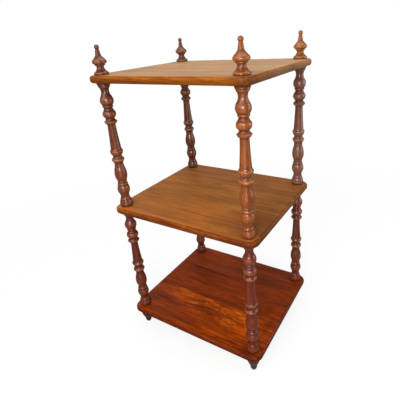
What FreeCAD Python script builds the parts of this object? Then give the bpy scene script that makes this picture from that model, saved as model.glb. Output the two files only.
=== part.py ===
import FreeCAD, Part
import os
from math import atan2, hypot, sqrt

import Sketcher

# Three-tier etagere in turned and stained hardwood, 884 mm tall.
#
# Three shelves, each glued up from three boards, are carried one above the other by four
# turned columns a tier. Every turned piece has a round tenon at its lower end and a socket
# bored in its upper end: a finial's tenon passes through the top shelf into the upper column,
# an upper column's through the middle shelf into the lower column, and a lower column's
# through the bottom shelf into the foot.
#
# Millimetres. +Z up, front at -Y, origin on the floor at the middle of the footprint.

document = FreeCAD.newDocument("etagere")
sheet = document.addObject("Spreadsheet::Sheet", "sizes")
sheet_rows = 0


def add_size(name, value):
    """Put one plain number in the sheet, with its name beside it as the alias."""
    global sheet_rows
    sheet_rows += 1
    sheet.set("A%d" % sheet_rows, name)
    sheet.set("B%d" % sheet_rows, repr(value))
    sheet.setAlias("B%d" % sheet_rows, name)


def size(name):
    """Read one number back from the sheet."""
    return float(sheet.get(name))


# ---------------------------------------------------------------- driving dimensions

driving_sizes = {
    # shelves
    "shelf_width": 460.0,
    "shelf_depth": 396.0,
    "shelf_thickness": 18.0,
    "corner_radius": 28.0,
    "nosing_radius": 7.0,
    # heights
    "foot_height": 57.0,
    "tier_pitch": 369.0,
    # column centres, in from the shelf's edges
    "column_inset": 30.0,
    # tenons and the holes they sit in
    "tenon_radius": 6.0,
    "tenon_grip": 19.0,
    "tenon_chamfer": 1.0,
    "tenon_clearance": 0.1,
    "socket_relief": 1.0,
    # widths of each shelf's front and back boards; the middle board takes up the rest
    "bottom_front_width": 148.0,
    "bottom_back_width": 118.0,
    "middle_front_width": 126.0,
    "middle_back_width": 134.0,
    "top_front_width": 137.0,
    "top_back_width": 124.0,
}
for name, value in driving_sizes.items():
    add_size(name, value)

# A turning is listed from its lower end upwards, one member a line:
#   name, form, rise, radius at its upper end, and the form's own number.
# The one member with rise 0 takes up what the others leave of the piece's height.
# taper     straight
# swell     one arc; its number is how far it stands out of the chord (below 0: hollow)
# belly     one arc that comes upright at its upper end
# shoulder  one arc that starts upright at its lower end
# ogee      two arcs, upright at both ends; its number is the lower arc's share
# shaft     one long hollow arc; its number is the arc's radius
# ball      a sphere that ends on the axis, as high as it needs; its number is its radius

column_foot_radius = 15.8
column_members = [
    ("base_under", "belly", 7.0, 18.0, 0.0),
    ("base_cushion", "shoulder", 14.0, 15.2, 0.0),
    ("base_quirk", "taper", 0.6, 13.8, 0.0),
    ("base_ring", "swell", 4.4, 13.3, 1.0),
    ("ankle_cove", "swell", 7.0, 12.2, -0.4),
    ("ankle_flare", "swell", 10.0, 14.9, -0.5),
    ("bell", "swell", 22.0, 14.7, 2.6),
    ("bell_quirk", "taper", 0.6, 13.5, 0.0),
    ("bell_ring", "swell", 7.4, 13.0, 1.2),
    ("waist_groove", "swell", 2.6, 12.1, -0.5),
    ("waist_ring", "swell", 4.6, 12.2, 1.0),
    ("waist_quirk", "taper", 0.8, 12.9, 0.0),
    ("pear_belly", "belly", 18.0, 17.2, 0.0),
    ("pear_neck", "ogee", 32.0, 12.1, 0.62),
    ("collar_cove", "swell", 5.6, 13.6, -0.5),
    ("collar_bead", "swell", 2.4, 14.6, 0.4),
    ("collar_quirk", "taper", 0.4, 15.4, 0.0),
    ("collar_ring", "swell", 7.6, 15.4, 1.6),
    ("collar_step", "taper", 0.4, 14.5, 0.0),
    ("collar_top", "swell", 7.8, 11.9, -0.9),
    ("throat_cup", "swell", 9.6, 16.9, 1.0),
    ("shaft_lip", "swell", 4.1, 17.2, 0.6),
    ("shaft_flare", "swell", 8.1, 14.1, -0.8),
    ("shaft", "shaft", 0.0, 10.6, 1070.0),
    ("disc_cup", "swell", 7.9, 17.2, 0.8),
    ("disc_edge", "swell", 0.8, 17.0, 0.2),
    ("disc_top", "swell", 7.4, 11.2, -1.0),
    ("bulb_quirk", "taper", 1.0, 11.4, 0.0),
    ("bulb_belly", "belly", 11.5, 17.4, 0.0),
    ("bulb_shoulder", "shoulder", 8.2, 13.6, 0.0),
    ("bulb_fillet", "taper", 0.4, 12.9, 0.0),
    ("bulb_ring", "swell", 3.2, 12.2, 0.5),
    ("bulb_cove", "swell", 4.9, 12.0, -1.0),
    ("vase_ring", "swell", 5.4, 12.6, 1.4),
    ("vase_quirk", "taper", 0.6, 13.2, 0.0),
    ("vase_belly", "belly", 11.3, 17.4, 0.0),
    ("vase_neck", "ogee", 24.5, 10.3, 0.45),
    ("capital_cove", "swell", 8.6, 12.4, -0.5),
    ("capital_quirk", "taper", 0.4, 13.3, 0.0),
    ("capital_ring", "swell", 3.6, 14.3, 0.6),
    ("capital_fillet", "taper", 0.5, 14.9, 0.0),
    ("capital_bead", "swell", 3.8, 16.2, 0.6),
    ("capital_step", "taper", 0.4, 16.8, 0.0),
    ("capital_flare", "swell", 4.7, 19.4, -0.5),
]

finial_foot_radius = 17.4
finial_members = [
    ("flange_edge", "swell", 7.0, 16.2, 1.9),
    ("flange_top", "taper", 4.0, 11.4, 0.0),
    ("flange_ring", "swell", 2.4, 10.2, 0.6),
    ("neck_cove", "swell", 8.2, 9.6, -0.9),
    ("lip_quirk", "taper", 0.4, 11.5, 0.0),
    ("lip_ring", "swell", 3.4, 12.2, 0.8),
    ("bulb_quirk", "taper", 0.4, 13.4, 0.0),
    ("bulb_belly", "belly", 5.2, 17.8, 0.0),
    ("bulb_shoulder", "shoulder", 6.4, 14.4, 0.0),
    ("bulb_slope", "taper", 6.0, 8.8, 0.0),
    ("spire_cove", "swell", 4.6, 6.7, -0.4),
    ("spire", "taper", 11.6, 4.8, 0.0),
    ("ball_neck", "swell", 1.8, 4.4, -0.2),
    ("ball", "ball", 0.0, 0.0, 6.0),
]

foot_tip_radius = 4.6
foot_members = [
    ("peg_tip", "belly", 12.0, 9.8, 0.0),
    ("peg", "swell", 6.6, 10.0, 0.1),
    ("cup_quirk", "taper", 0.5, 10.8, 0.0),
    ("cup", "swell", 0.0, 19.8, 1.7),
    ("collar", "swell", 7.0, 19.6, 0.7),
]


def add_members(piece, end_radius, members):
    """List a turning's sizes in the sheet, under names that begin with the piece's own."""
    add_size("%s_end_radius" % piece, end_radius)
    for member, form, rise, radius, number in members:
        if rise:
            add_size("%s_%s_rise" % (piece, member), rise)
        if radius:
            add_size("%s_%s_radius" % (piece, member), radius)
        if number:
            add_size("%s_%s_number" % (piece, member), number)


add_members("column", column_foot_radius, column_members)
add_members("finial", finial_foot_radius, finial_members)
add_members("foot", foot_tip_radius, foot_members)
document.recompute()

# Lengths that follow from the driving ones, as expressions on the sheet.
column_height = "(sizes.tier_pitch - sizes.shelf_thickness)"
tenon_length = "(sizes.shelf_thickness + sizes.tenon_grip)"
socket_radius = "(sizes.tenon_radius + sizes.tenon_clearance)"
socket_depth = "(sizes.tenon_grip + sizes.socket_relief)"
column_x = "(sizes.shelf_width / 2 - sizes.column_inset)"
column_y = "(sizes.shelf_depth / 2 - sizes.column_inset)"


def worked_out(expression):
    """The value of an expression on the sheet, for the first drawing of a sketch."""
    value = sheet.evalExpression(expression.replace("sizes.", ""))
    return float(getattr(value, "Value", value))


def plane_of(body, role):
    """The body's own origin plane with the given role."""
    return next(feature for feature in body.Origin.OriginFeatures if feature.Role == role)


def place(feature, x, y, z):
    """Bind a piece's place to the sheet."""
    feature.setExpression("Placement.Base.x", x)
    feature.setExpression("Placement.Base.y", y)
    feature.setExpression("Placement.Base.z", z)


# How a sketch names the ends and the middle of an edge, its own origin and its upright axis.
START, END, MIDDLE = range(1, 4)
ORIGIN = (-1, 1)
V_AXIS = -2
UP = FreeCAD.Vector(0, 0, 1)

# ---------------------------------------------------------------- turned pieces


class Outline:
    """Half the section of a turned piece, drawn edge by edge in a sketch.

    Each edge starts where the last one ended. X is the radius and Y the height, and every
    corner is held by its radius and its height, which is the sum of the rises below it. The
    sketch gets them all at once, when the outline is closed.
    """

    def __init__(self, start_height):
        self.start_height = start_height
        self.rises = [start_height]
        self.radius = 0.0
        self.height = worked_out(start_height)
        self.edges = []
        self.constraints = []
        self.expressions = {}
        self.corner = None
        self.first = None

    def hold(self, *constraint):
        """Add a constraint; a driven one also gets its expression, given last."""
        if isinstance(constraint[-1], str):
            self.expressions[len(self.constraints)] = constraint[-1]
            constraint = constraint[:-1]
        self.constraints.append(Sketcher.Constraint(*constraint))

    def join(self, curve, near, far):
        """Add an edge with its near end on the last corner; its far end is the new corner."""
        edge = len(self.edges)
        self.edges.append(curve)
        if self.corner:
            self.hold("Coincident", *self.corner, edge, near)
        else:
            self.first = (edge, near)
            self.hold("PointOnObject", edge, near, V_AXIS)
            self.hold("DistanceY", *ORIGIN, edge, near, self.height, self.start_height)
        self.corner = (edge, far)
        return edge

    def line(self, radius, height):
        """Draw a straight edge and return its number."""
        start = FreeCAD.Vector(self.radius, self.height, 0)
        end = FreeCAD.Vector(radius, height, 0)
        self.radius, self.height = radius, height
        return self.join(Part.LineSegment(start, end), START, END)

    def out_to(self, expression):
        """A level edge out or in to a radius."""
        edge = self.line(worked_out(expression), self.height)
        self.hold("Horizontal", edge)
        self.hold_radius(expression)

    def in_to_axis(self):
        """A level edge in to the axis, where the outline isn't there already."""
        if self.radius == 0.0:
            return
        edge = self.line(0.0, self.height)
        self.hold("Horizontal", edge)
        self.hold("PointOnObject", edge, END, V_AXIS)

    def up_by(self, expression):
        """An upright edge; below 0 it goes down."""
        edge = self.line(self.radius, self.height + worked_out(expression))
        self.hold("Vertical", edge)
        self.hold_rise(expression)

    def slope_to(self, radius_expression, rise_expression):
        """A straight edge that changes both radius and height."""
        self.line(worked_out(radius_expression), self.height + worked_out(rise_expression))
        self.hold_radius(radius_expression)
        self.hold_rise(rise_expression)

    def arc_to(self, radius_expression, rise_expression, bend_expression, outward):
        """An arc of the given bend radius, bowed out from the axis or hollowed towards it."""
        radius = worked_out(radius_expression)
        rise = worked_out(rise_expression)
        bend = worked_out(bend_expression)
        chord = hypot(radius - self.radius, rise)
        back = sqrt(bend * bend - chord * chord / 4)
        side = -1.0 if outward else 1.0
        middle_x = (self.radius + radius) / 2 + side * back * rise / chord
        middle_y = self.height + rise / 2 - side * back * (radius - self.radius) / chord
        edge = self.arc(middle_x, middle_y, bend, radius, self.height + rise, outward)
        self.hold("Radius", edge, bend, bend_expression)
        self.hold_radius(radius_expression)
        self.hold_rise(rise_expression)

    def ball_to_axis(self, bend_expression):
        """The part of a sphere above the last corner, ending on the axis."""
        bend = worked_out(bend_expression)
        middle_y = self.height + sqrt(bend * bend - self.radius * self.radius)
        edge = self.arc(0.0, middle_y, bend, 0.0, middle_y + bend, True)
        self.hold("Radius", edge, bend, bend_expression)
        self.hold("PointOnObject", edge, MIDDLE, V_AXIS)
        self.hold("PointOnObject", edge, END, V_AXIS)

    def arc(self, middle_x, middle_y, bend, radius, height, outward):
        """Draw an arc up to a corner and return its number."""
        circle = Part.Circle(FreeCAD.Vector(middle_x, middle_y, 0), UP, bend)
        low = atan2(self.height - middle_y, self.radius - middle_x)
        high = atan2(height - middle_y, radius - middle_x)
        self.radius, self.height = radius, height
        if outward:
            return self.join(Part.ArcOfCircle(circle, low, high), START, END)
        return self.join(Part.ArcOfCircle(circle, high, low), END, START)

    def hold_radius(self, expression):
        self.hold("DistanceX", *ORIGIN, *self.corner, worked_out(expression), expression)

    def hold_rise(self, expression):
        self.rises.append(expression)
        self.hold("DistanceY", *ORIGIN, *self.corner, self.height, " + ".join(self.rises))

    def draw_in(self, sketch):
        """Close the outline along the axis and put it all in the sketch."""
        top = FreeCAD.Vector(0, self.height, 0)
        foot = FreeCAD.Vector(0, worked_out(self.start_height), 0)
        self.join(Part.LineSegment(top, foot), START, END)
        self.hold("Coincident", *self.corner, *self.first)
        sketch.addGeometry(self.edges, False)
        sketch.addConstraint(self.constraints)
        for index, expression in self.expressions.items():
            sketch.setExpression("Constraints[%d]" % index, expression)


def add_member(outline, name, form, rise, start):
    """Draw one member of a turning, from the radius start upwards, and return where it ends."""
    end, number = name + "_radius", name + "_number"
    if form == "ball":
        outline.ball_to_axis(number)
        return end
    step = "(%s - %s)" % (end, start)
    grows = worked_out(step) > 0
    upright_bend = "((%s ^ 2 + %s ^ 2) / (2 * abs(%s)))" % (step, rise, step)
    if form == "taper":
        outline.slope_to(end, rise)
    elif form == "swell":
        chord_square = "(%s ^ 2 + %s ^ 2)" % (step, rise)
        bend = "((%s / 4 + %s ^ 2) / (2 * abs(%s)))" % (chord_square, number, number)
        outline.arc_to(end, rise, bend, worked_out(number) > 0)
    elif form == "belly":
        outline.arc_to(end, rise, upright_bend, grows)
    elif form == "shoulder":
        outline.arc_to(end, rise, upright_bend, not grows)
    elif form == "ogee":
        turn = "(%s + %s * %s)" % (start, step, number)
        lower_rise = "(%s * %s)" % (rise, number)
        upper_rise = "(%s * (1 - %s))" % (rise, number)
        lower_bend = "(%s * %s)" % (upright_bend, number)
        upper_bend = "(%s * (1 - %s))" % (upright_bend, number)
        outline.arc_to(turn, lower_rise, lower_bend, not grows)
        outline.arc_to(end, upper_rise, upper_bend, grows)
    elif form == "shaft":
        outline.arc_to(end, rise, number, False)
    return end


def stretches_of(members):
    """A long turning in two, cut above its shaft, so that each sketch stays small."""
    forms = [row[1] for row in members]
    if "shaft" not in forms:
        return [members]
    cut = forms.index("shaft") + 1
    return [members[:cut], members[cut:]]


def turned_piece(label, piece, members, height, has_tenon, has_socket):
    """A body turned from its outline, with the seat of its lower end at height 0."""
    body = document.addObject("PartDesign::Body", label)
    body.Label = label
    outline = Outline("(-%s)" % tenon_length if has_tenon else "0")
    if has_tenon:
        outline.out_to("(sizes.tenon_radius - sizes.tenon_chamfer)")
        outline.slope_to("sizes.tenon_radius", "sizes.tenon_chamfer")
        outline.up_by("(%s - sizes.tenon_chamfer)" % tenon_length)
    stated = ["sizes.%s_%s_rise" % (piece, row[0]) for row in members if row[2]]
    left_over = "(%s - %s)" % (height, " - ".join(stated))
    radius = "sizes.%s_end_radius" % piece
    stretches = stretches_of(members)
    for stretch in stretches:
        outline.out_to(radius)
        for member, form, rise, *_ in stretch:
            name = "sizes.%s_%s" % (piece, member)
            radius = add_member(outline, name, form, name + "_rise" if rise else left_over, radius)
        upper_end = " + ".join(outline.rises)
        if stretch is stretches[-1] and has_socket:
            outline.out_to(socket_radius)
            outline.up_by("(-%s)" % socket_depth)
        outline.in_to_axis()
        turn(body, outline)
        outline = Outline("(%s)" % upper_end)
    return body


def turn(body, outline):
    """Add the outline, turned once round its axis, to the body."""
    sketch = body.newObject("Sketcher::SketchObject", body.Label + "_outline")
    sketch.AttachmentSupport = (plane_of(body, "XZ_Plane"), [""])
    sketch.MapMode = "FlatFace"
    outline.draw_in(sketch)
    turning = body.newObject("PartDesign::Revolution", body.Label + "_turning")
    turning.Profile = sketch
    turning.ReferenceAxis = (sketch, ["V_Axis"])
    turning.Angle = 360
    body.Tip = turning


def mirrored(label, original, across):
    """The same piece on the other side of the middle plane that faces across."""
    copy = document.addObject("Part::Mirroring", label)
    copy.Label = label
    copy.Source = original
    copy.Base = FreeCAD.Vector(0, 0, 0)
    copy.Normal = across
    return copy


# ---------------------------------------------------------------- shelves

# The largest part of the shelf's thickness, and of its corner radius, that a nosing can take.
NOSING_OF_THICKNESS = 0.49
NOSING_OF_CORNER = 0.9


def shelf_blank(label, underside):
    """A shelf as it is before it is told apart into boards: rounded, nosed and bored."""
    body = document.addObject("PartDesign::Body", label)
    place(body, "0", "0", underside)

    outline = body.newObject("Sketcher::SketchObject", label + "_outline")
    outline.AttachmentSupport = (plane_of(body, "XY_Plane"), [""])
    outline.MapMode = "FlatFace"
    width, depth = size("shelf_width"), size("shelf_depth")
    corners = [FreeCAD.Vector(x_side * width / 2, y_side * depth / 2, 0)
               for x_side, y_side in ((-1, -1), (1, -1), (1, 1), (-1, 1))]
    front, right, back, left = range(4)
    for side in (front, right, back, left):
        outline.addGeometry(Part.LineSegment(corners[side], corners[(side + 1) % 4]), False)
    rules = [Sketcher.Constraint("Coincident", side, END, (side + 1) % 4, START)
             for side in (front, right, back, left)]
    rules += [Sketcher.Constraint("Horizontal", side) for side in (front, back)]
    rules += [Sketcher.Constraint("Vertical", side) for side in (right, left)]
    rules.append(Sketcher.Constraint("Symmetric", front, START, right, END, *ORIGIN))
    outline.addConstraint(rules)
    across = outline.addConstraint(
        Sketcher.Constraint("DistanceX", front, START, front, END, width))
    outline.setExpression("Constraints[%d]" % across, "sizes.shelf_width")
    along = outline.addConstraint(
        Sketcher.Constraint("DistanceY", right, START, right, END, depth))
    outline.setExpression("Constraints[%d]" % along, "sizes.shelf_depth")

    slab = body.newObject("PartDesign::Pad", label + "_slab")
    slab.Profile = outline
    slab.setExpression("Length", "sizes.shelf_thickness")
    document.recompute()

    rounding = body.newObject("PartDesign::Fillet", label + "_corners")
    rounding.Base = (slab, edges_where(slab, is_upright))
    rounding.setExpression("Radius", "sizes.corner_radius")
    document.recompute()

    nosing = body.newObject("PartDesign::Fillet", label + "_nosing")
    nosing.Base = (rounding, edges_where(rounding, is_level))
    nosing.setExpression("Radius", "min(sizes.nosing_radius; sizes.shelf_thickness * %g; "
                         "sizes.corner_radius * %g)" % (NOSING_OF_THICKNESS, NOSING_OF_CORNER))

    bores = body.newObject("Sketcher::SketchObject", label + "_bores")
    bores.AttachmentSupport = (plane_of(body, "XY_Plane"), [""])
    bores.MapMode = "FlatFace"
    for x_side, y_side in ((-1, -1), (1, -1), (1, 1), (-1, 1)):
        add_bore(bores, x_side, y_side)
    boring = body.newObject("PartDesign::Pocket", label + "_boring")
    boring.Profile = bores
    boring.Type = "ThroughAll"
    boring.Midplane = True
    body.Tip = boring
    document.recompute()
    return body


def add_bore(sketch, x_side, y_side):
    """Draw the hole for a tenon in one corner of a shelf."""
    radius = worked_out(socket_radius)
    middle = FreeCAD.Vector(x_side * worked_out(column_x), y_side * worked_out(column_y), 0)
    circle = sketch.addGeometry(Part.Circle(middle, UP, radius))
    places = (("DistanceX", middle.x, "%d * %s" % (x_side, column_x)),
              ("DistanceY", middle.y, "%d * %s" % (y_side, column_y)))
    for kind, distance, expression in places:
        rule = Sketcher.Constraint(kind, *ORIGIN, circle, MIDDLE, distance)
        sketch.setExpression("Constraints[%d]" % sketch.addConstraint(rule), expression)
    wall = sketch.addConstraint(Sketcher.Constraint("Radius", circle, radius))
    sketch.setExpression("Constraints[%d]" % wall, socket_radius)


def is_upright(edge):
    start, end = [vertex.Point for vertex in edge.Vertexes]
    return abs(start.z - end.z) > size("shelf_thickness") / 2


def is_level(edge):
    return not is_upright(edge)


def edges_where(feature, test):
    """Names of the feature's edges that pass the test."""
    edges = feature.Shape.Edges
    return ["Edge%d" % (index + 1) for index, edge in enumerate(edges) if test(edge)]


def shelf_boards(tier, underside):
    """Three boards, edge to edge, cut from the tier's blank where its glue joints run."""
    blank = shelf_blank(tier + "_blank", underside)
    front_width = "sizes.%s_front_width" % tier
    back_width = "sizes.%s_back_width" % tier
    middle_width = "(sizes.shelf_depth - %s - %s)" % (front_width, back_width)
    front_joint = "(%s - sizes.shelf_depth / 2)" % front_width
    back_joint = "(sizes.shelf_depth / 2 - %s)" % back_width
    spans = (("front", "(-sizes.shelf_depth / 2)", front_width),
             ("middle", front_joint, middle_width),
             ("back", back_joint, back_width))
    boards = []
    for position, near, width in spans:
        strip = document.addObject("Part::Box", "%s_%s_strip" % (tier, position))
        strip.setExpression("Length", "sizes.shelf_width")
        strip.setExpression("Width", width)
        strip.setExpression("Height", "sizes.shelf_thickness")
        place(strip, "-sizes.shelf_width / 2", near, underside)
        board = document.addObject("Part::Common", "%s_%s_board" % (tier, position))
        board.Base = blank
        board.Tool = strip
        board.Label = "%s_shelf_%s_board" % (tier, position)
        boards.append(board)
    return boards


# ---------------------------------------------------------------- the whole etagere

pieces = []
shelf_undersides = {
    "bottom": "sizes.foot_height",
    "middle": "(sizes.foot_height + sizes.tier_pitch)",
    "top": "(sizes.foot_height + 2 * sizes.tier_pitch)",
}
for tier, underside in shelf_undersides.items():
    pieces += shelf_boards(tier, underside)

bottom_top_face = "(sizes.foot_height + sizes.shelf_thickness)"
middle_top_face = "(sizes.foot_height + sizes.tier_pitch + sizes.shelf_thickness)"
top_top_face = "(sizes.foot_height + 2 * sizes.tier_pitch + sizes.shelf_thickness)"
turned_kinds = (
    # name, sizes used, members, height, has a tenon, has a socket, seat
    ("foot", "foot", foot_members, "sizes.foot_height", False, True, "0"),
    ("lower_column", "column", column_members, column_height, True, True, bottom_top_face),
    ("upper_column", "column", column_members, column_height, True, True, middle_top_face),
    ("finial", "finial", finial_members, "0", True, False, top_top_face),
)
across_x = FreeCAD.Vector(1, 0, 0)
across_y = FreeCAD.Vector(0, 1, 0)
for kind, sizes_used, members, height, has_tenon, has_socket, seat in turned_kinds:
    front_left = turned_piece(kind + "_front_left", sizes_used, members, height,
                              has_tenon, has_socket)
    place(front_left, "-" + column_x, "-" + column_y, seat)
    front_right = mirrored(kind + "_front_right", front_left, across_x)
    back_left = mirrored(kind + "_back_left", front_left, across_y)
    back_right = mirrored(kind + "_back_right", front_right, across_y)
    pieces += [front_left, front_right, back_left, back_right]

document.recompute()

for thing in document.Objects:
    if "Invalid" in thing.State or "Error" in thing.State:
        raise RuntimeError("%s failed to build: %s" % (thing.Label, thing.State))

os.makedirs("parts", exist_ok=True)
for piece in pieces:
    shape = piece.Shape
    if shape.isNull() or not shape.isValid() or len(shape.Solids) != 1:
        raise RuntimeError("%s is not one sound solid" % piece.Label)
    shape.exportStep("parts/%s.step" % piece.Label)
    box = shape.optimalBoundingBox()
    print("%-28s %9.1f mm3  z %7.2f to %7.2f" % (piece.Label, shape.Volume, box.ZMin, box.ZMax))
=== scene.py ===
# Three-tier etagere in stained and French-polished fruitwood. Three glued-up shelves are
# carried at their corners by turned columns, with turned finials above and turned feet below,
# all pinned together by round tenons. Metres, standing on the floor at the origin, front to -Y.

from math import atan2, ceil, cos, exp, hypot, pi, sin, sqrt
import random

import bpy
from mathutils import Euler, Matrix, Vector, kdtree


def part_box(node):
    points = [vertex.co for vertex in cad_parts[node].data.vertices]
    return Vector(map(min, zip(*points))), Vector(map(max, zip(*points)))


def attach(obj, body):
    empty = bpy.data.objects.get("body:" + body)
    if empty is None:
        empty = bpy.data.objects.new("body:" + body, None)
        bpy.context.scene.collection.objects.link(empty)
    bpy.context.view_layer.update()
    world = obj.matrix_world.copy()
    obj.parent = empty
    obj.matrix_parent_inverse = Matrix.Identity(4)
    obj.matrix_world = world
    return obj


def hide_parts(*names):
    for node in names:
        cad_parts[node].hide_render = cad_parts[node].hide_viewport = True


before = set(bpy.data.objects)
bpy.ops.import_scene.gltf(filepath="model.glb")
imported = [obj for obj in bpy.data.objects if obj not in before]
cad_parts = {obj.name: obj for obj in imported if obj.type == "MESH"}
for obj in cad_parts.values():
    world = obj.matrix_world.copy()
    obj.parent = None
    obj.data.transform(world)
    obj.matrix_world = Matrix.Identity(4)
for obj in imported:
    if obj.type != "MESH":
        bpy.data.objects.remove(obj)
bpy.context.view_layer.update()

# ---------------------------------------------------------------- shelves
# Each shelf is three flat-sawn boards glued edge to edge, rounded at its corners and all round
# its edge, and bored at the corners for the columns' tenons. It is stained red-brown and
# French polished on top and edge; the underside was left dry and has gone dull.

MM = 0.001
# points this close are the same point, and faces this close are the same face
SAME_PLACE = MM / 100
SAME_FACE = MM / 10
SHELF_CORNER = 28 * MM
CORNER_SEGMENTS = 14
NOSING = 7 * MM
NOSING_SEGMENTS = 8
BORE_RADIUS = 6.1 * MM
BORE_SIDES = 40
GLUE_LINE = 0.3 * MM
SHELF_CREASE = 0.5
CORNER_SIDES = ((-1, -1), (1, -1), (1, 1), (-1, 1))
BOARD_POSITIONS = ("front", "middle", "back")
# wear, dirt and painted shade up a shelf's edge, from its lower arris to its upper one
EDGE_DIRT_AND_SHADE, EDGE_RUB = -2.1, 0.1
# the right-hand edge gets a little of the painted sheen too: how much, how deep, and how far
# forward
EDGE_SHEEN = 0.4
EDGE_SHEEN_DEPTH = 0.9 * NOSING
EDGE_SHEEN_FRONT = 0.7


def deselect():
    """Leave object mode with nothing selected."""
    if bpy.context.object and bpy.context.object.mode != "OBJECT":
        bpy.ops.object.mode_set(mode="OBJECT")
    bpy.ops.object.select_all(action="DESELECT")


def select(piece, kind, test):
    """In edit mode, select just the vertices, edges or faces of a mesh that pass the test."""
    bpy.ops.object.mode_set(mode="OBJECT")
    kinds = ("VERT", "EDGE", "FACE")
    bpy.context.tool_settings.mesh_select_mode = [kind == each for each in kinds]
    mesh = piece.data
    groups = (mesh.vertices, mesh.edges, mesh.polygons)
    for group in groups:
        group.foreach_set("select", [False] * len(group))
    for item in groups[kinds.index(kind)]:
        item.select = test(item)
    bpy.ops.object.mode_set(mode="EDIT")


def ends_of(piece, edge):
    return [piece.data.vertices[index].co for index in edge.vertices]


def column_centres():
    """The four column axes, from the front left one round to the right."""
    low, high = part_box("foot_front_left")
    x, y = (low.x + high.x) / 2, (low.y + high.y) / 2
    return [(abs(x) * x_side, abs(y) * y_side) for x_side, y_side in CORNER_SIDES]


def note(piece, name, measure):
    """Keep a measure of each vertex's place on the mesh, for its material to read."""
    layer = piece.data.attributes.new(name, "FLOAT", "POINT")
    layer.data.foreach_set("value", [measure(vertex.co) for vertex in piece.data.vertices])


def shelf_blank(tier):
    """A whole shelf: slab, rounded corners, rounded edge, four bores."""
    boxes = [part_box("%s_shelf_%s_board" % (tier, position)) for position in BOARD_POSITIONS]
    low, high = boxes[0][0], boxes[-1][1]
    size = high - low
    deselect()
    bpy.ops.mesh.primitive_cube_add(size=1, location=(low + high) / 2, scale=size)
    blank = bpy.context.object
    bpy.ops.object.transform_apply(location=True, rotation=True, scale=True)

    def is_upright(edge):
        start, end = ends_of(blank, edge)
        return abs(start.z - end.z) > size.z / 2

    def is_rim(edge):
        start, end = ends_of(blank, edge)
        return abs(start.z - end.z) < size.z / 2

    select(blank, "EDGE", is_upright)
    bpy.ops.mesh.bevel(offset=SHELF_CORNER, segments=CORNER_SEGMENTS, affect="EDGES")
    select(blank, "EDGE", is_rim)
    bpy.ops.mesh.bevel(offset=NOSING, segments=NOSING_SEGMENTS, affect="EDGES")
    deselect()
    for x, y in column_centres():
        bpy.ops.mesh.primitive_cylinder_add(
            vertices=BORE_SIDES, radius=BORE_RADIUS, depth=size.z * 3, location=(x, y, low.z))
        drill = bpy.context.object
        boring = blank.modifiers.new("boring", "BOOLEAN")
        boring.object = drill
        boring.operation = "DIFFERENCE"
        deselect()
        bpy.context.view_layer.objects.active = blank
        bpy.ops.object.modifier_apply(modifier=boring.name)
        bpy.data.objects.remove(drill)
    return blank, low, high


def note_faces(piece, low, high):
    """Note a board's edge wear and shade, where painted sheen lies, and where it was left raw."""

    def wear_at(place):
        """Below 0 under the nosing for dirt and painted shade, to a little above 0 at its rubbed
        arris.
        """
        inwards = min(high.x - abs(place.x), high.y - abs(place.y))
        height = (place.z - low.z) / (high.z - low.z)
        on_nosing = 0 < height < 1 and inwards < NOSING
        wear = EDGE_DIRT_AND_SHADE + (EDGE_RUB - EDGE_DIRT_AND_SHADE) * height
        return wear * sin(pi * height) if on_nosing else 0

    def sheen_at(place):
        """Painted sheen: all of the top face, and partly the right-hand edge behind its front
        corner.
        """
        on_right_edge = (place.x > high.x - EDGE_SHEEN_DEPTH
                         and place.y > low.y * EDGE_SHEEN_FRONT)
        return 1 if place.z > high.z - SAME_FACE else EDGE_SHEEN if on_right_edge else 0

    note(piece, "wear", wear_at)
    note(piece, "painted_sheen", sheen_at)
    note(piece, "raw", lambda place: 1 if place.z < low.z + SAME_FACE else 0)


def board(tier, position, blank, low, high):
    """One board of a shelf, cut from the blank at its glue joints and eased there."""
    node = "%s_shelf_%s_board" % (tier, position)
    board_low, board_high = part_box(node)
    piece = blank.copy()
    piece.data = blank.data.copy()
    piece.name = piece.data.name = "%s_%s_board" % (tier, position)
    bpy.context.collection.objects.link(piece)
    deselect()
    bpy.context.view_layer.objects.active = piece
    joints = [y for y in (board_low.y, board_high.y) if low.y + GLUE_LINE < y < high.y - GLUE_LINE]
    for joint in joints:
        is_front = joint == board_low.y
        select(piece, "FACE", lambda face: True)
        bpy.ops.mesh.bisect(plane_co=(0, joint, 0), plane_no=(0, 1, 0), use_fill=True,
                            clear_inner=is_front, clear_outer=not is_front)

    def is_joint_edge(edge):
        start, end = ends_of(piece, edge)
        lies_in_joint = any(abs(start.y - y) < SAME_PLACE and abs(end.y - y) < SAME_PLACE
                            for y in joints)
        return lies_in_joint and abs(start.z - end.z) < SAME_PLACE

    select(piece, "EDGE", is_joint_edge)
    bpy.ops.mesh.bevel(offset=GLUE_LINE, segments=1, affect="EDGES")
    bpy.ops.mesh.select_all(action="SELECT")
    bpy.ops.mesh.remove_doubles(threshold=SAME_PLACE)
    bpy.ops.mesh.normals_make_consistent(inside=False)
    deselect()
    piece.select_set(True)
    bpy.ops.object.shade_smooth_by_angle(angle=SHELF_CREASE)
    note_faces(piece, low, high)
    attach(piece, "root")
    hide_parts(node)
    return piece


def linear(colour):
    """A colour written as an sRGB hex value, as linear light."""
    channels = [int(colour[index:index + 2], 16) / 255 for index in (0, 2, 4)]
    return tuple(c / 12.92 if c <= 0.04045 else ((c + 0.055) / 1.055) ** 2.4
                 for c in channels) + (1,)


def add(tree, kind, inputs, out=0, **settings):
    """Add a node with its settings and its inputs, values or links, and return one output.
    Inputs and output go by name, or by number where several share a name."""
    node = tree.nodes.new(kind)
    for name, value in settings.items():
        setattr(node, name, value)
    sockets = [socket for socket in node.inputs if socket.enabled]
    for key, value in inputs.items():
        named = [socket for socket in sockets if socket.name == key]
        socket = named[0] if named else sockets[key]
        if isinstance(value, bpy.types.NodeSocket):
            tree.links.new(value, socket)
        else:
            socket.default_value = value
    outputs = [socket for socket in node.outputs if socket.enabled]
    named_outputs = [socket for socket in outputs if socket.name == out]
    return (named_outputs or outputs or [None])[0]
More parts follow.
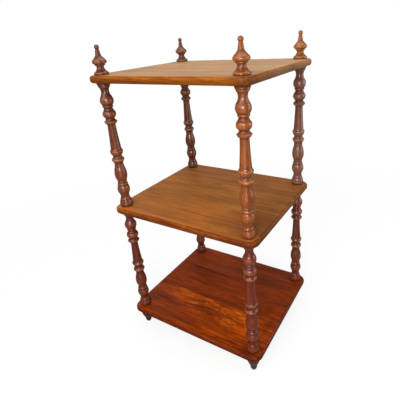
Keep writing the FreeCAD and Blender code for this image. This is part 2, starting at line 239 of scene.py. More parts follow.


# Stained and French-polished fruitwood: fine straight grain whose rings end in a darker line, the
# stain lying in streaks and darkest in the pores, under a thin film of shellac with a soft gloss
# that has dulled in patches. Rubbed crests show redder, paler wood, partly a painted highlight;
# old polish and dirt stay dark in the hollows, with painted shade there, under a shelf's nosing
# and where a turning meets a shelf; a shelf's top carries a painted sheen; the underside of a
# shelf was never polished.
RING_SPACING = 5 * MM
# the ring texture repeats after this length where its scale is 1
WAVE_LENGTH_AT_SCALE_1 = pi / 10
# lengths along the grain are shortened so far, which draws the rings out
ALONG_GRAIN = 0.12
# along and across the grain: how far from the heart the glow ends, and where it is full
HEART_REACH = {"X": (215 * MM * ALONG_GRAIN, 125 * MM * ALONG_GRAIN), "Y": (58 * MM, 8 * MM)}
# how far each kind of figure reaches along and across the grain; real pores are finer, about a
# tenth of a millimetre across, and are drawn this coarse to show
FIGURE = {"streaks": (110 * MM, 3.4 * MM), "flecks": (17 * MM, 1.6 * MM),
          "pores": (14 * MM, 0.7 * MM), "tone": (240 * MM, 45 * MM),
          "eyes": (22 * MM, 5.5 * MM), "scuffs": (13 * MM, 8 * MM), "dulling": (60 * MM, 32 * MM)}
GRIME_AND_SHADE = "2a0f08"
RUBBED_AND_HIGHLIGHT = "aa6838"
EYES = "c0701c"
DRY_WOOD = "6b4a32"
# a shelf's finish: how dull its polish is, how much it reflects, the weight of its clear film,
# how wavy it lies, and how dark each ring ends
SHELF_FINISH = {"dullness": 0.36, "shine": 0.18, "film": 0.03, "wavy": 0.3, "rings": 0.4}


def drawn_figure(tree, place, middle, grain, seed):
    """A noise for each kind of figure, drawn out along the grain, and the lie of the stain."""
    figure = {}
    for kind, (length, width) in FIGURE.items():
        drawn_out = add(tree, "ShaderNodeMapping",
                        {"Vector": place, "Location": middle, "Rotation": grain,
                         "Scale": (length, width, width)}, vector_type="TEXTURE")
        figure[kind] = add(tree, "ShaderNodeTexNoise",
                           {"Vector": drawn_out, "W": seed, "Scale": 1.0, "Detail": 4.0,
                            "Roughness": 0.58}, noise_dimensions="4D")
    figure["stain"] = add(tree, "ShaderNodeMix", {"Factor": 0.42, "A": figure["streaks"],
                                                  "B": figure["tone"]})
    return figure


def rings_and_glow(tree, place, middle, grain, heart, rings, heart_glow, tone):
    """Growth rings about the heart line, bending a little, each darkening to its end; and the
    patchy glow of the wood beside the heart."""
    *heart_point, tilt, slant = heart
    heart_line = Vector(heart_point)
    heart_line.rotate(Euler(grain))
    from_heart = add(tree, "ShaderNodeMapping",
                     {"Vector": place, "Location": Vector(middle) + heart_line,
                      "Rotation": (grain[0], grain[1] + tilt, grain[2] + slant),
                      "Scale": (1 / ALONG_GRAIN, 1, 1)}, vector_type="TEXTURE")
    ring = add(tree, "ShaderNodeTexWave",
               {"Vector": from_heart, "Scale": WAVE_LENGTH_AT_SCALE_1 / RING_SPACING,
                "Distortion": 14.0, "Detail": 2.0, "Detail Scale": 0.45, "Detail Roughness": 0.5},
               out="Fac", wave_type="RINGS", rings_direction="X", wave_profile="SAW")
    late_wood = add(tree, "ShaderNodeMapRange",
                    {"Value": ring, "From Min": 0.35, "From Max": 0.95, "To Max": rings})
    near_heart = heart_glow
    for axis, (edge, core) in HEART_REACH.items():
        offset = add(tree, "ShaderNodeSeparateXYZ", {"Vector": from_heart}, out=axis)
        off_heart = add(tree, "ShaderNodeMath", {0: offset}, operation="ABSOLUTE")
        near_heart = add(tree, "ShaderNodeMapRange",
                         {"Value": off_heart, "From Min": edge, "From Max": core,
                          "To Max": near_heart}, interpolation_type="SMOOTHSTEP")
    patches = add(tree, "ShaderNodeMapRange", {"Value": tone, "From Min": 0.36,
                                               "From Max": 0.54, "To Min": 0.25})
    glow = add(tree, "ShaderNodeMath", {0: near_heart, 1: patches}, operation="MULTIPLY")
    return late_wood, glow


def stained_wood(tree, figure, late_wood, glow, tones, contrast):
    """The stain: streaked, blotched, paler where the heart wood glows through it with golden
    eyes, and darkest in the late wood, the flecks and the pores."""
    dark, mid, light = (linear(tone) for tone in tones)
    flecked = add(tree, "ShaderNodeMix", {"Factor": 0.2, "A": figure["stain"],
                                          "B": figure["flecks"]})
    stain = add(tree, "ShaderNodeMath", {0: flecked, 1: glow}, operation="ADD")
    middle_stain, half_range = 0.5, 0.14 / contrast
    deep = add(tree, "ShaderNodeMapRange", {"Value": stain, "From Min": middle_stain - half_range,
                                            "From Max": middle_stain})
    pale = add(tree, "ShaderNodeMapRange", {"Value": stain, "From Min": middle_stain,
                                            "From Max": middle_stain + half_range})
    shimmer = add(tree, "ShaderNodeMapRange", {"Value": figure["eyes"], "From Min": 0.54,
                                               "From Max": 0.62, "To Max": 8.0})
    glint = add(tree, "ShaderNodeMath", {0: shimmer, 1: glow}, operation="MULTIPLY",
                use_clamp=True)
    specks = add(tree, "ShaderNodeMapRange", {"Value": figure["flecks"], "From Min": 0.44,
                                              "From Max": 0.34, "To Max": 0.6})
    open_pores = add(tree, "ShaderNodeMapRange",
                     {"Value": figure["pores"], "From Min": 0.56, "From Max": 0.7, "To Max": 0.5})
    wood = dark
    for amount, colour in ((deep, mid), (pale, light), (late_wood, dark), (glint, linear(EYES)),
                           (specks, dark), (open_pores, dark)):
        wood = add(tree, "ShaderNodeMix", {"Factor": amount, "A": wood, "B": colour},
                   data_type="RGBA")
    return wood


def worn_and_shaded_wood(tree, wood, figure, lightest):
    """Rubbed crests, partly a painted highlight, and hollows dark with dirt and painted shade; and
    how dark.
    """
    wear = add(tree, "ShaderNodeAttribute", {}, out="Fac", attribute_name="wear")
    handled = add(tree, "ShaderNodeMapRange", {"Value": wear, "From Min": 0.1, "From Max": 1.4})
    patchy = add(tree, "ShaderNodeMapRange", {"Value": figure["scuffs"], "From Min": 0.38,
                                              "From Max": 0.62, "To Min": 0.2, "To Max": 0.85})
    # crests are rubbed paler, partly as a painted highlight on them
    rubbed_and_highlight = add(tree, "ShaderNodeMath", {0: handled, 1: patchy}, operation="MULTIPLY")
    # hollows, the lower nosing and a turning's ends at a shelf darken with dirt and painted shade
    dirt_and_shade = add(tree, "ShaderNodeMapRange", {"Value": wear, "From Min": -0.25, "From Max": -2.2,
                                             "To Max": 0.75})
    rubbed_and_highlight_wood = [(own + pale) / 2 for own, pale in zip(linear(lightest), linear(RUBBED_AND_HIGHLIGHT))]
    for amount, colour in ((rubbed_and_highlight, rubbed_and_highlight_wood), (dirt_and_shade, linear(GRIME_AND_SHADE))):
        wood = add(tree, "ShaderNodeMix", {"Factor": amount, "A": wood, "B": colour},
                   data_type="RGBA")
    return wood, dirt_and_shade


def shelf_faces(tree, wood, roughness, shine, stain, sheen_tone, sheen_strength):
    """A shelf's top carries a painted sheen, more where the stain is thin, and a little of it lies
    on the right-hand edge; its edge is handled and has lost some polish; its underside was never
    polished."""
    top = add(tree, "ShaderNodeAttribute", {}, out="Fac", attribute_name="painted_sheen")
    uneven = add(tree, "ShaderNodeMapRange", {"Value": stain, "From Min": 0.36, "From Max": 0.6,
                                              "To Min": sheen_strength * 0.45, "To Max": sheen_strength})
    # painted sheen: the top face, and a little of the right-hand edge, drawn toward a pale tone
    faded = add(tree, "ShaderNodeMath", {0: top, 1: uneven}, operation="MULTIPLY")
    raw = add(tree, "ShaderNodeAttribute", {}, out="Fac", attribute_name="raw")
    dry = add(tree, "ShaderNodeMath", {0: raw, 1: 0.7}, operation="MULTIPLY")
    for amount, colour in ((faded, sheen_tone), (dry, DRY_WOOD)):
        wood = add(tree, "ShaderNodeMix", {"Factor": amount, "A": wood, "B": linear(colour)},
                   data_type="RGBA")
    roughness = add(tree, "ShaderNodeMath", {0: raw, 1: 0.3, 2: roughness},
                    operation="MULTIPLY_ADD")
    shine = add(tree, "ShaderNodeMapRange", {"Value": top, "To Min": shine * 0.4, "To Max": shine})
    return wood, roughness, shine


def marked_and_shaded_wood(tree, wood, place, level, flecks, marks):
    """Old stains and knots, and some painted shade and reflection: each a ragged oval, its edge
    broken up by the flecks.
    """
    for x, y, half_length, half_width, strength in marks:
        oval = add(tree, "ShaderNodeMapping",
                   {"Vector": place, "Location": (x, y, level),
                    "Scale": (half_length, half_width, 1)}, vector_type="TEXTURE")
        reach = add(tree, "ShaderNodeVectorMath", {0: oval}, out="Value", operation="LENGTH")
        ragged = add(tree, "ShaderNodeMath", {0: reach, 1: flecks}, operation="ADD")
        soaked = add(tree, "ShaderNodeMapRange", {"Value": ragged, "From Min": 1.7,
                                                  "From Max": 0.8, "To Max": strength})
        wood = add(tree, "ShaderNodeMix", {"Factor": soaked, "A": wood, "B": linear(GRIME_AND_SHADE)},
                   data_type="RGBA")
    return wood


def polished_fruitwood(name, middle, grain, heart, tones, seed, contrast, dullness, shine, film,
                       wavy, rings, heart_glow=0, sheen_tone=None, sheen_strength=0, marks=()):
    """One piece's own wood. Its grain runs along the X axis as grain turns that. The tree's heart
    lay along a line beside and below the piece's middle: heart is a point of it, its tilt out of
    the board and its slant across it. Only a shelf has a painted sheen tone and a dry underside."""
    material = bpy.data.materials.new(name)
    material.use_nodes = True
    tree = material.node_tree
    tree.nodes.clear()
    place = add(tree, "ShaderNodeTexCoord", {}, out="Object")
    figure = drawn_figure(tree, place, middle, grain, seed)
    late_wood, glow = rings_and_glow(tree, place, middle, grain, heart, rings, heart_glow,
                                     figure["tone"])
    wood = stained_wood(tree, figure, late_wood, glow, tones, contrast)
    wood, dirt_and_shade = worn_and_shaded_wood(tree, wood, figure, tones[-1])

    # the polish is duller in patches and where dirt and painted shade darken it
    dulled = add(tree, "ShaderNodeMapRange", {"Value": figure["dulling"], "From Min": 0.35,
                                              "From Max": 0.65, "To Min": dullness - 0.07,
                                              "To Max": dullness + 0.09})
    roughness = add(tree, "ShaderNodeMath", {0: dirt_and_shade, 1: 0.3, 2: dulled},
                    operation="MULTIPLY_ADD")
    if sheen_tone:
        wood, roughness, shine = shelf_faces(tree, wood, roughness, shine, figure["stain"],
                                             sheen_tone, sheen_strength)
    wood = marked_and_shaded_wood(tree, wood, place, middle[2], figure["flecks"], marks)

    # pores and the marks of hand polishing show through it
    pore_bump = add(tree, "ShaderNodeBump", {"Height": figure["pores"], "Strength": 0.2,
                                             "Distance": 0.25 * MM})
    hand_bump = add(tree, "ShaderNodeBump", {"Height": figure["dulling"], "Strength": wavy,
                                             "Distance": 1.2 * MM, "Normal": pore_bump})
    shader = add(tree, "ShaderNodeBsdfPrincipled",
                 {"Base Color": wood, "Roughness": roughness, "IOR": 1.5, "Normal": hand_bump,
                  "Specular IOR Level": shine, "Coat Weight": film, "Coat Roughness": 0.2})
    add(tree, "ShaderNodeOutputMaterial", {"Surface": shader})
    return material


# darkest, middle and lightest stain of each shelf's boards, front to back
SHELF_TONES = {
    "bottom": (("360c00", "702400", "a84402"), ("360b00", "6b1f00", "822e00"),
               ("360c02", "6a2404", "823408")),
    "middle": (("401404", "7a3a0c", "985018"), ("3a1806", "74461a", "8e5a28"),
               ("36150a", "5e3620", "744a2e")),
    "top": (("501c02", "8a4a0a", "ac621a"), ("562a0c", "985e28", "b47c42"),
            ("5c3218", "a26c3c", "be8854")),
}
# painted sheen of a bright room on each shelf's top: its pale tone and how strong it is, weakest on
# the bottom shelf that the shelves above shade
SHELF_SHEEN = {"bottom": ("b44c02", 0.22), "middle": ("cc7e34", 0.58), "top": ("d2ae82", 0.62)}
# where the tree's heart lay: a point of it from the board's middle in mm, its tilt and its slant
HEARTS = {
    "bottom": ((20, 38, -60, 0.07, -0.11), (0, -30, -110, 0.03, 0.01), (0, 28, -90, -0.04, -0.013)),
    "middle": ((0, -30, -80, 0.05, 0.017), (0, 24, -110, -0.04, -0.013), (0, -42, -70, 0.03, 0.01)),
    "top": ((0, 34, -90, 0.04, 0.013), (0, -20, -85, 0.06, 0.02), (0, 25, -120, -0.03, -0.01)),
}
CONTRAST = {"bottom": 1.4, "middle": 1.6, "top": 0.85}
SHELF_SEEDS = {"bottom": (11, 2, 3), "middle": (4, 35, 6), "top": (7, 8, 9)}
# how strongly the heart wood glows, front to back
HEART_GLOW = {"bottom": (0.14, 0.02, 0), "middle": (0.03, 0.03, 0), "top": (0.02, 0.02, 0.02)}
# stains and knots, painted shade along the right-hand edges of the top and bottom shelves, and a
# painted reflection of the back left finial on the top shelf: x, y, half their length and width in
# mm, and how dark
SHELF_STAINS_AND_SHADE = {
    "bottom": ((132, -176, 24, 6, 0.6), (88, -180, 12, 5, 0.4), (-142, 74, 36, 4, 0.7),
               (-81, 45, 30, 4, 0.25), (-24, 72, 12, 5, 0.3), (182, -11, 15, 30, 0.33),
               (205, -70, 12, 40, 0.33), (203, 110, 10, 14, 0.33), (180, 114, 14, 5, 0.33),
               (202, 49, 14, 8, 0.33), (200, -176, 46, 26, 0.42), (-160, -170, 50, 16, 0.3),
               (230, -30, 8, 190, 0.45), (0, -198, 250, 7, 0.25)),
    "middle": ((55, -15, 22, 4, 0.25), (94, -19, 14, 4, 0.2), (-29, 67, 22, 8, 0.2),
               (10, 109, 12, 5, 0.3), (164, 84, 26, 9, 0.2), (205, -130, 135, 80, 0.55),
               (205, 20, 60, 150, 0.35), (-15, 34, 60, 16, 0.2), (-150, 100, 50, 18, 0.25)),
    "top": ((-50, 171, 5, 14, 0.3), (115, 139, 4, 16, 0.3), (-172, 120, 40, 26, 0.4),
            (226, -194, 44, 36, 0.45), (231, 0, 9, 170, 0.4)),
}
for tier, board_tones in SHELF_TONES.items():
    blank, low, high = shelf_blank(tier)
    sheen_tone, sheen_strength = SHELF_SHEEN[tier]
    marks = [tuple(size * MM for size in mark[:4]) + mark[4:] for mark in SHELF_STAINS_AND_SHADE[tier]]
    for number, position in enumerate(BOARD_POSITIONS):
        piece = board(tier, position, blank, low, high)
        board_low, board_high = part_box("%s_shelf_%s_board" % (tier, position))
        # a mark's ragged edge ends within twice its half width
        near_marks = [mark for mark in marks
                      if board_low.y - mark[3] * 2 < mark[1] < board_high.y + mark[3] * 2]
        *heart_point, tilt, slant = HEARTS[tier][number]
        heart = (*(place * MM for place in heart_point), tilt, slant)
        piece.data.materials.append(polished_fruitwood(
            "stained_fruitwood_%s_%s" % (tier, position), (board_low + board_high) / 2, (0, 0, 0),
            heart, board_tones[number], SHELF_SEEDS[tier][number], CONTRAST[tier],
            heart_glow=HEART_GLOW[tier][number], sheen_tone=sheen_tone,
            sheen_strength=sheen_strength, marks=near_marks, **SHELF_FINISH))
    bpy.data.objects.remove(blank)

# ---------------------------------------------------------------- turned columns
# Each column is turned between centres from one square of the same wood, with a tenon below and
# a socket above. The lathe tool leaves crisp quirks between the beads; the stain and dirt lie dark
# in them, with painted shade there and where a column meets a shelf, and the crests have been
# rubbed pale, partly as a painted highlight.

TENON_RADIUS = 6 * MM
TENON_GRIP = 19 * MM
TENON_CHAMFER = 1 * MM
SOCKET_RELIEF = 1 * MM
LATHE_STEPS = 72
TURNED_CREASE = 0.6
# an arc's longest step in mm, and its widest in radians
ARC_STEP, ARC_TURN = 3.2, 0.18
# A turning from its lower end upwards: form, rise, radius at its upper end, and the form's own
# number, in mm. The one member with rise 0 takes up what is left of the height. A taper is
# straight. A swell is one arc, and its number is how far it stands out of its chord (below 0:
# hollow). A belly is upright at its upper end and a shoulder at its lower end. An ogee is two
# arcs, and its number is the lower one's share. A shaft is one hollow arc, and a ball a sphere
# that ends on the axis; their number is the radius.
COLUMN_FOOT = 15.8
COLUMN_MEMBERS = (
    # base: a cushion on a narrow foot, with a ring above it
    ("belly", 7.0, 18.0, 0), ("shoulder", 14.0, 15.2, 0), ("taper", 0.6, 13.8, 0),
    ("swell", 4.4, 13.3, 1.0), ("swell", 7.0, 12.2, -0.4), ("swell", 10.0, 14.9, -0.5),
    # bell, and two rings over it
    ("swell", 22.0, 14.7, 2.6), ("taper", 0.6, 13.5, 0), ("swell", 7.4, 13.0, 1.2),
    ("swell", 2.6, 12.1, -0.5), ("swell", 4.6, 12.2, 1.0), ("taper", 0.8, 12.9, 0),
    # pear and collar
    ("belly", 18.0, 17.2, 0), ("ogee", 32.0, 12.1, 0.62), ("swell", 5.6, 13.6, -0.5),
    ("swell", 2.4, 14.6, 0.4), ("taper", 0.4, 15.4, 0), ("swell", 7.6, 15.4, 1.6),
    ("taper", 0.4, 14.5, 0), ("swell", 7.8, 11.9, -0.9),
    # lip and long hollow shaft
    ("swell", 9.6, 16.9, 1.0), ("swell", 4.1, 17.2, 0.6), ("swell", 8.1, 14.1, -0.8),
    ("shaft", 0, 10.6, 1070.0),
    # disc, and the bulb with its ring
    ("swell", 7.9, 17.2, 0.8), ("swell", 0.8, 17.0, 0.2), ("swell", 7.4, 11.2, -1.0),
    ("taper", 1.0, 11.4, 0), ("belly", 11.5, 17.4, 0), ("shoulder", 8.2, 13.6, 0),
    ("taper", 0.4, 12.9, 0), ("swell", 3.2, 12.2, 0.5), ("swell", 4.9, 12.0, -1.0),
    # vase and capital
    ("swell", 5.4, 12.6, 1.4), ("taper", 0.6, 13.2, 0), ("belly", 11.3, 17.4, 0),
    ("ogee", 24.5, 10.3, 0.45), ("swell", 8.6, 12.4, -0.5), ("taper", 0.4, 13.3, 0),
    ("swell", 3.6, 14.3, 0.6), ("taper", 0.5, 14.9, 0), ("swell", 3.8, 16.2, 0.6),
    ("taper", 0.4, 16.8, 0), ("swell", 4.7, 19.4, -0.5),
)
WEAR_REACH = 4.5 * MM
# darkest, middle and lightest stain of each turning, in the order of the corners' names
COLUMN_TONES = {
    "lower": (("2a0b06", "5c220d", "783210"), ("2a0c04", "621f06", "7c3008"),
              ("300f0a", "6c301c", "864428"), ("2a0c08", "5e2610", "76341a")),
    "upper": (("2b0f08", "643016", "804222"), ("340e04", "72360c", "9a521a"),
              ("341410", "704434", "885a42"), ("260c06", "5a2c18", "70381e")),
}
COLUMN_HEARTS = (20 * MM, 45 * MM)
CORNER_NAMES = ("front_left", "front_right", "back_right", "back_left")
UPRIGHT_GRAIN = (0, -pi / 2, 0)
HEART_TILT = 0.1
SEED_RANGE = (10, 40)
TURNED_FINISH = {"dullness": 0.3, "shine": 0.32, "film": 0.25, "wavy": 0.1, "rings": 0.25,
                 "contrast": 0.75}


def arc(start, end, bend, outward):
    """Points after the start of an arc of radius bend, bowed out from the axis or hollow."""
    chord = hypot(end[0] - start[0], end[1] - start[1])
    back = sqrt(max(0, bend * bend - chord * chord / 4))
    side = -1 if outward else 1
    middle_x = (start[0] + end[0]) / 2 + side * back * (end[1] - start[1]) / chord
    middle_y = (start[1] + end[1]) / 2 - side * back * (end[0] - start[0]) / chord
    low = atan2(start[1] - middle_y, start[0] - middle_x)
    sweep = atan2(end[1] - middle_y, end[0] - middle_x) - low
    sweep = (sweep + pi) % (2 * pi) - pi
    steps = max(2, ceil(abs(sweep) * bend / ARC_STEP), ceil(abs(sweep) / ARC_TURN))
    return [(middle_x + bend * cos(low + sweep * step / steps),
             middle_y + bend * sin(low + sweep * step / steps)) for step in range(1, steps + 1)]


def member_points(start, form, rise, radius, number):
    """The points that one member of a turning adds above its start."""
    end = (radius, start[1] + rise)
    grow = radius - start[0]
    upright_bend = (grow ** 2 + rise ** 2) / (2 * abs(grow)) if grow else 0
    if form == "taper":
        return [end]
    if form == "swell":
        bend = ((grow ** 2 + rise ** 2) / 4 + number ** 2) / (2 * abs(number))
        return arc(start, end, bend, number > 0)
    if form == "belly":
        return arc(start, end, upright_bend, grow > 0)
    if form == "shoulder":
        return arc(start, end, upright_bend, grow < 0)
    if form == "ogee":
        turn = (start[0] + grow * number, start[1] + rise * number)
        return (arc(start, turn, upright_bend * number, grow < 0)
                + arc(turn, end, upright_bend * (1 - number), grow > 0))
    return arc(start, end, number, False)


def turned_outline(foot_radius, members, height, tenon_length=0, socket_depth=0):
    """Half a turning's section from axis to axis, as radius and height, its seat at height 0."""
    left_over = height / MM - sum(rise for _, rise, _, _ in members)
    face = [(foot_radius, 0)]
    for form, rise, radius, number in members:
        if form == "ball":
            middle = face[-1][1] + sqrt(number ** 2 - face[-1][0] ** 2)
            face += arc(face[-1], (0, middle + number), number, True)
        else:
            face += member_points(face[-1], form, rise or left_over, radius, number)
    face = [(radius * MM, level * MM) for radius, level in face]
    below = [(0, 0)]
    if tenon_length:
        below = [(0, -tenon_length), (TENON_RADIUS - TENON_CHAMFER, -tenon_length),
                 (TENON_RADIUS, TENON_CHAMFER - tenon_length), (TENON_RADIUS, 0)]
    above = []
    if socket_depth:
        above = [(BORE_RADIUS, height), (BORE_RADIUS, height - socket_depth),
                 (0, height - socket_depth)]
    return below + face + above


def turned_wear(outline, meets, reach):
    """How far each point of a turning stands out of the forms within reach of it, in mm. The
    shelves that it meets, given as their levels and the side they lie on, count as wide forms."""
    shelf_form, slice_height, slices = 26 * MM, 2 * MM, 7
    nothing_near = MM / 100
    runs = [((low + high) / 2, high - low, (low_radius + high_radius) / 2)
            for (low_radius, low), (high_radius, high) in zip(outline, outline[1:])
            if 0 <= low < high]
    # shelves count as wide forms, so painted shade darkens a turning where it meets one
    runs += [(level + side * slice_height * (number + 0.5), slice_height, shelf_form)
             for level, side in meets for number in range(slices)]
    wear = []
    for radius, level in outline:
        total = weight = 0
        for run_level, length, run_radius in runs:
            nearness = exp(-(run_level - level) ** 2 / (2 * reach ** 2)) * length
            total += nearness * run_radius
            weight += nearness
        wear.append((radius - total / weight) / MM if weight > nothing_near else 0)
    return wear


def turn_on_lathe(name, outline, meets, reach=WEAR_REACH):
    """Draw an outline from one point, edge by edge, and spin it once round the Z axis."""
    deselect()
    bpy.ops.mesh.primitive_plane_add(size=MM, location=(outline[0][0], 0, outline[0][1]))
    piece = bpy.context.object
    piece.name = piece.data.name = name
    bpy.ops.object.transform_apply(location=True, rotation=True, scale=True)
    select(piece, "VERT", lambda corner: True)
    bpy.ops.mesh.merge(type="CENTER")
    for (radius, level), (next_radius, next_level) in zip(outline, outline[1:]):
        step = (next_radius - radius, 0, next_level - level)
        bpy.ops.mesh.extrude_region_move(TRANSFORM_OT_translate={"value": step})
    bpy.ops.mesh.select_all(action="SELECT")
    bpy.ops.mesh.spin(steps=LATHE_STEPS, angle=2 * pi, center=(0, 0, 0), axis=(0, 0, 1))
    bpy.ops.mesh.select_all(action="SELECT")
    bpy.ops.mesh.remove_doubles(threshold=SAME_PLACE)
    bpy.ops.mesh.normals_make_consistent(inside=False)
    deselect()
    piece.select_set(True)
    bpy.ops.object.shade_smooth_by_angle(angle=TURNED_CREASE)
    wear = turned_wear(outline, meets, reach)
    points = kdtree.KDTree(len(outline))
    for index, (radius, level) in enumerate(outline):
        points.insert((radius, 0, level), index)
    points.balance()
    note(piece, "wear", lambda place: wear[points.find((hypot(place.x, place.y), 0, place.z))[1]])
    return piece


def set_at_corner(pattern, node, place, middle_height, heart_depths, tones,
                  finish=TURNED_FINISH):
    """A copy of a turned pattern, with mesh and wood of its own, where the node stands. The
    tree's heart lay beside and below the wood's middle, between heart_depths away."""
    piece = pattern.copy()
    piece.data = pattern.data.copy()
    piece.name = piece.data.name = node + "_turned"
    piece.data.transform(Matrix.Translation(place))
    bpy.context.collection.objects.link(piece)
    x, y, seat = place
    heart = (0, random.uniform(*heart_depths), random.uniform(*heart_depths),
             random.uniform(-HEART_TILT, HEART_TILT), 0)
    piece.data.materials.append(polished_fruitwood(
        "turned_fruitwood_" + node, (x, y, seat + middle_height), UPRIGHT_GRAIN, heart, tones,
        random.uniform(*SEED_RANGE), **finish))
    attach(piece, "root")
    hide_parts(node)


shelf_tops = {tier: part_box("%s_shelf_front_board" % tier)[1].z for tier in SHELF_TONES}
shelf_low, shelf_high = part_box("middle_shelf_front_board")
shelf_thickness = shelf_high.z - shelf_low.z
column_height = shelf_low.z - shelf_tops["bottom"]
tenon_length = shelf_thickness + TENON_GRIP
socket_depth = TENON_GRIP + SOCKET_RELIEF
column_pattern = turn_on_lathe("column_pattern", turned_outline(
    COLUMN_FOOT, COLUMN_MEMBERS, column_height, tenon_length, socket_depth),
    meets=((0, -1), (column_height, 1)))
random.seed(7)
for tier, below in (("lower", "bottom"), ("upper", "middle")):
    for corner, (x, y), tones in zip(CORNER_NAMES, column_centres(), COLUMN_TONES[tier]):
        set_at_corner(column_pattern, "%s_column_%s" % (tier, corner), (x, y, shelf_tops[below]),
                      column_height / 2, COLUMN_HEARTS, tones)
bpy.data.objects.remove(column_pattern)

# ---------------------------------------------------------------- finials
# A finial is turned like a column, from a flange through a bulb to a spire and ball. Its tenon
# goes through the top shelf into the upper column and pins the two together.

FINIAL_FOOT = 17.4
FINIAL_MEMBERS = (
    # flange and neck
    ("swell", 7.0, 16.2, 1.9), ("taper", 4.0, 11.4, 0), ("swell", 2.4, 10.2, 0.6),
    ("swell", 8.2, 9.6, -0.9),
    # lip and bulb
    ("taper", 0.4, 11.5, 0), ("swell", 3.4, 12.2, 0.8), ("taper", 0.4, 13.4, 0),
    ("belly", 5.2, 17.8, 0), ("shoulder", 6.4, 14.4, 0), ("taper", 6.0, 8.8, 0),
    # spire and ball
    ("swell", 4.6, 6.7, -0.4), ("taper", 11.6, 4.8, 0), ("swell", 1.8, 4.4, -0.2),
    ("ball", 0, 0, 6.0),
)
FINIAL_TONES = (("200802", "5c2408", "7c4018"), ("300e00", "763a04", "945008"),
                ("321204", "82480e", "a86618"), ("220c04", "603010", "7c481c"))
FINIAL_FINISH = {**TURNED_FINISH, "shine": 0.3}
FINIAL_WEAR_REACH = 3 * MM
SHORT_TURNING_HEARTS = (15 * MM, 30 * MM)
finial_pattern = turn_on_lathe("finial_pattern", turned_outline(
    FINIAL_FOOT, FINIAL_MEMBERS, 0, tenon_length), meets=((0, -1),), reach=FINIAL_WEAR_REACH)
for corner, (x, y), tones in zip(CORNER_NAMES, column_centres(), FINIAL_TONES):
    set_at_corner(finial_pattern, "finial_" + corner, (x, y, shelf_tops["top"]), 0,
                  SHORT_TURNING_HEARTS, tones, FINIAL_FINISH)
bpy.data.objects.remove(finial_pattern)

# ---------------------------------------------------------------- feet
# A foot is a short turning too: a collar and cup under the shelf, narrowing to a blunt peg. Its
# socket takes the lower column's tenon. Feet have the darkest tones of the turnings.

FOOT_TIP = 4.6
FOOT_MEMBERS = (
    ("belly", 12.0, 9.8, 0), ("swell", 6.6, 10.0, 0.1), ("taper", 0.5, 10.8, 0),
    ("swell", 0, 19.8, 1.7), ("swell", 7.0, 19.6, 0.7),
)
FOOT_TONES = ("1c0c08", "40241a", "563220")
foot_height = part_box("foot_front_left")[1].z
foot_pattern = turn_on_lathe("foot_pattern", turned_outline(
    FOOT_TIP, FOOT_MEMBERS, foot_height, socket_depth=socket_depth),
    meets=((foot_height, 1),))
for corner, (x, y) in zip(CORNER_NAMES, column_centres()):
    set_at_corner(foot_pattern, "foot_" + corner, (x, y, 0), 0, SHORT_TURNING_HEARTS,
                  FOOT_TONES)
bpy.data.objects.remove(foot_pattern)

# ---------------------------------------------------------------- floor, light and camera
# A plain pale floor fades into a white room. A small lamp beside the camera, and a wider one low
# down, draw the highlights on the turnings. Wide soft lamps in front, overhead and at the sides
# give plain even light. The room is white to the camera alone, because nothing here is metal or
# glass, and polish seen at a glancing angle turns milky when it mirrors that much white.

FLOOR_RADIUS = 2.4
FLOOR_FADE = (0.5, 1.6)
# the camera sees the floor as white by this share, and the rest keeps the shadow
FLOOR_WHITE = 0.8
ROOM_LIGHT = 0.22

deselect()
bpy.ops.mesh.primitive_circle_add(vertices=96, radius=FLOOR_RADIUS, fill_type="NGON")
floor = bpy.context.object
floor.name = "floor"
paint = bpy.data.materials.new("white_floor_paint")
paint.use_nodes = True
tree = paint.node_tree
tree.nodes.clear()
place = add(tree, "ShaderNodeTexCoord", {}, out="Object")
reach = add(tree, "ShaderNodeVectorMath", {"Vector": place}, out="Value", operation="LENGTH")
fade = add(tree, "ShaderNodeMapRange", {"Value": reach, "From Min": FLOOR_FADE[0],
                                        "From Max": FLOOR_FADE[1]})
seen = add(tree, "ShaderNodeLightPath", {}, out="Is Camera Ray")
whitened = add(tree, "ShaderNodeMath", {0: seen, 1: FLOOR_WHITE}, operation="MULTIPLY")
shade = add(tree, "ShaderNodeMix", {"Factor": seen, "A": linear("8c8a86"), "B": linear("f4f3f1")},
            data_type="RGBA")
matt = add(tree, "ShaderNodeBsdfDiffuse", {"Color": shade})
white = add(tree, "ShaderNodeEmission", {"Color": linear("ffffff"), "Strength": 1.0})
pale = add(tree, "ShaderNodeMixShader", {0: whitened, 1: matt, 2: white})
clear = add(tree, "ShaderNodeBsdfTransparent", {})
faded = add(tree, "ShaderNodeMixShader", {0: fade, 1: pale, 2: clear})
add(tree, "ShaderNodeOutputMaterial", {"Surface": faded})
floor.data.materials.append(paint)

world = bpy.data.worlds.new("white_room")
bpy.context.scene.world = world
world.use_nodes = True
tree = world.node_tree
tree.nodes.clear()
seen = add(tree, "ShaderNodeLightPath", {}, out="Is Camera Ray")
strength = add(tree, "ShaderNodeMapRange", {"Value": seen, "To Min": ROOM_LIGHT, "To Max": 1.0})
room = add(tree, "ShaderNodeBackground", {"Color": linear("ffffff"), "Strength": strength})
add(tree, "ShaderNodeOutputWorld", {"Surface": room})


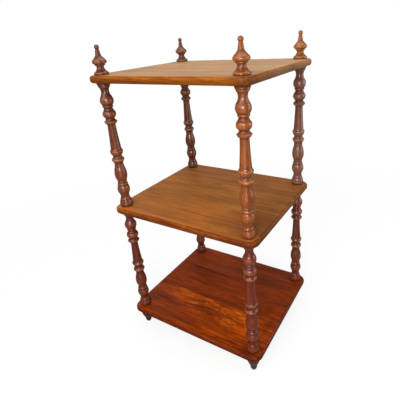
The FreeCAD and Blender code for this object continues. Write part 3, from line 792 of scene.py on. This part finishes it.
def soft_lamp(name, place, aim, width, height, power):
    """An area lamp of a width, height and power in watts, at a place and facing a point."""
    lamp = bpy.data.lights.new(name, "AREA")
    lamp.shape = "RECTANGLE"
    lamp.size, lamp.size_y = width, height
    lamp.energy = power
    holder = bpy.data.objects.new(name, lamp)
    bpy.context.collection.objects.link(holder)
    facing = (Vector(aim) - Vector(place)).to_track_quat("-Z", "Y")
    holder.matrix_world = Matrix.Translation(place) @ facing.to_matrix().to_4x4()


soft_lamp("key_lamp", (0.58, -1.2, 0.98), (0, 0, 0.5), 0.34, 0.34, 14)
soft_lamp("low_lamp", (0.6, -1.2, 0.22), (0, 0, 0.5), 0.7, 0.4, 3)
soft_lamp("front_lamp", (-0.3, -1.7, 1.75), (0, 0, 0.42), 1.8, 1.8, 30)
soft_lamp("overhead_lamp", (0, 0.3, 2.4), (0, 0, 0.4), 1.8, 1.8, 26)
soft_lamp("right_lamp", (1.65, 0.8, 0.9), (0, 0, 0.45), 1.4, 1.4, 18)
soft_lamp("left_lamp", (-2.0, 0.4, 1.2), (0, 0, 0.4), 1.6, 1.6, 5)

FRAME_WIDTH = 400
FOCAL_PIXELS = 346.07
CENTRE_COLUMN, CENTRE_ROW = 223.49, 180.38
SENSOR_WIDTH = 36
CAMERA_PLACE = (0.53218, -0.78839, 0.89150)
CAMERA_TURN, CAMERA_DIP, CAMERA_ROLL = 0.56305, 0.40303, -0.06853
camera_data = bpy.data.cameras.new("camera")
camera_data.sensor_width = SENSOR_WIDTH
camera_data.lens = FOCAL_PIXELS / FRAME_WIDTH * SENSOR_WIDTH
camera_data.shift_x = (FRAME_WIDTH / 2 - CENTRE_COLUMN) / FRAME_WIDTH
camera_data.shift_y = (CENTRE_ROW - FRAME_WIDTH / 2) / FRAME_WIDTH
camera = bpy.data.objects.new("camera", camera_data)
bpy.context.collection.objects.link(camera)
camera.matrix_world = (Matrix.Translation(CAMERA_PLACE) @ Matrix.Rotation(CAMERA_TURN, 4, "Z")
                       @ Matrix.Rotation(pi / 2 - CAMERA_DIP, 4, "X")
                       @ Matrix.Rotation(CAMERA_ROLL, 4, "Z"))
bpy.context.scene.camera = camera
bpy.context.scene.view_settings.view_transform = "Standard"
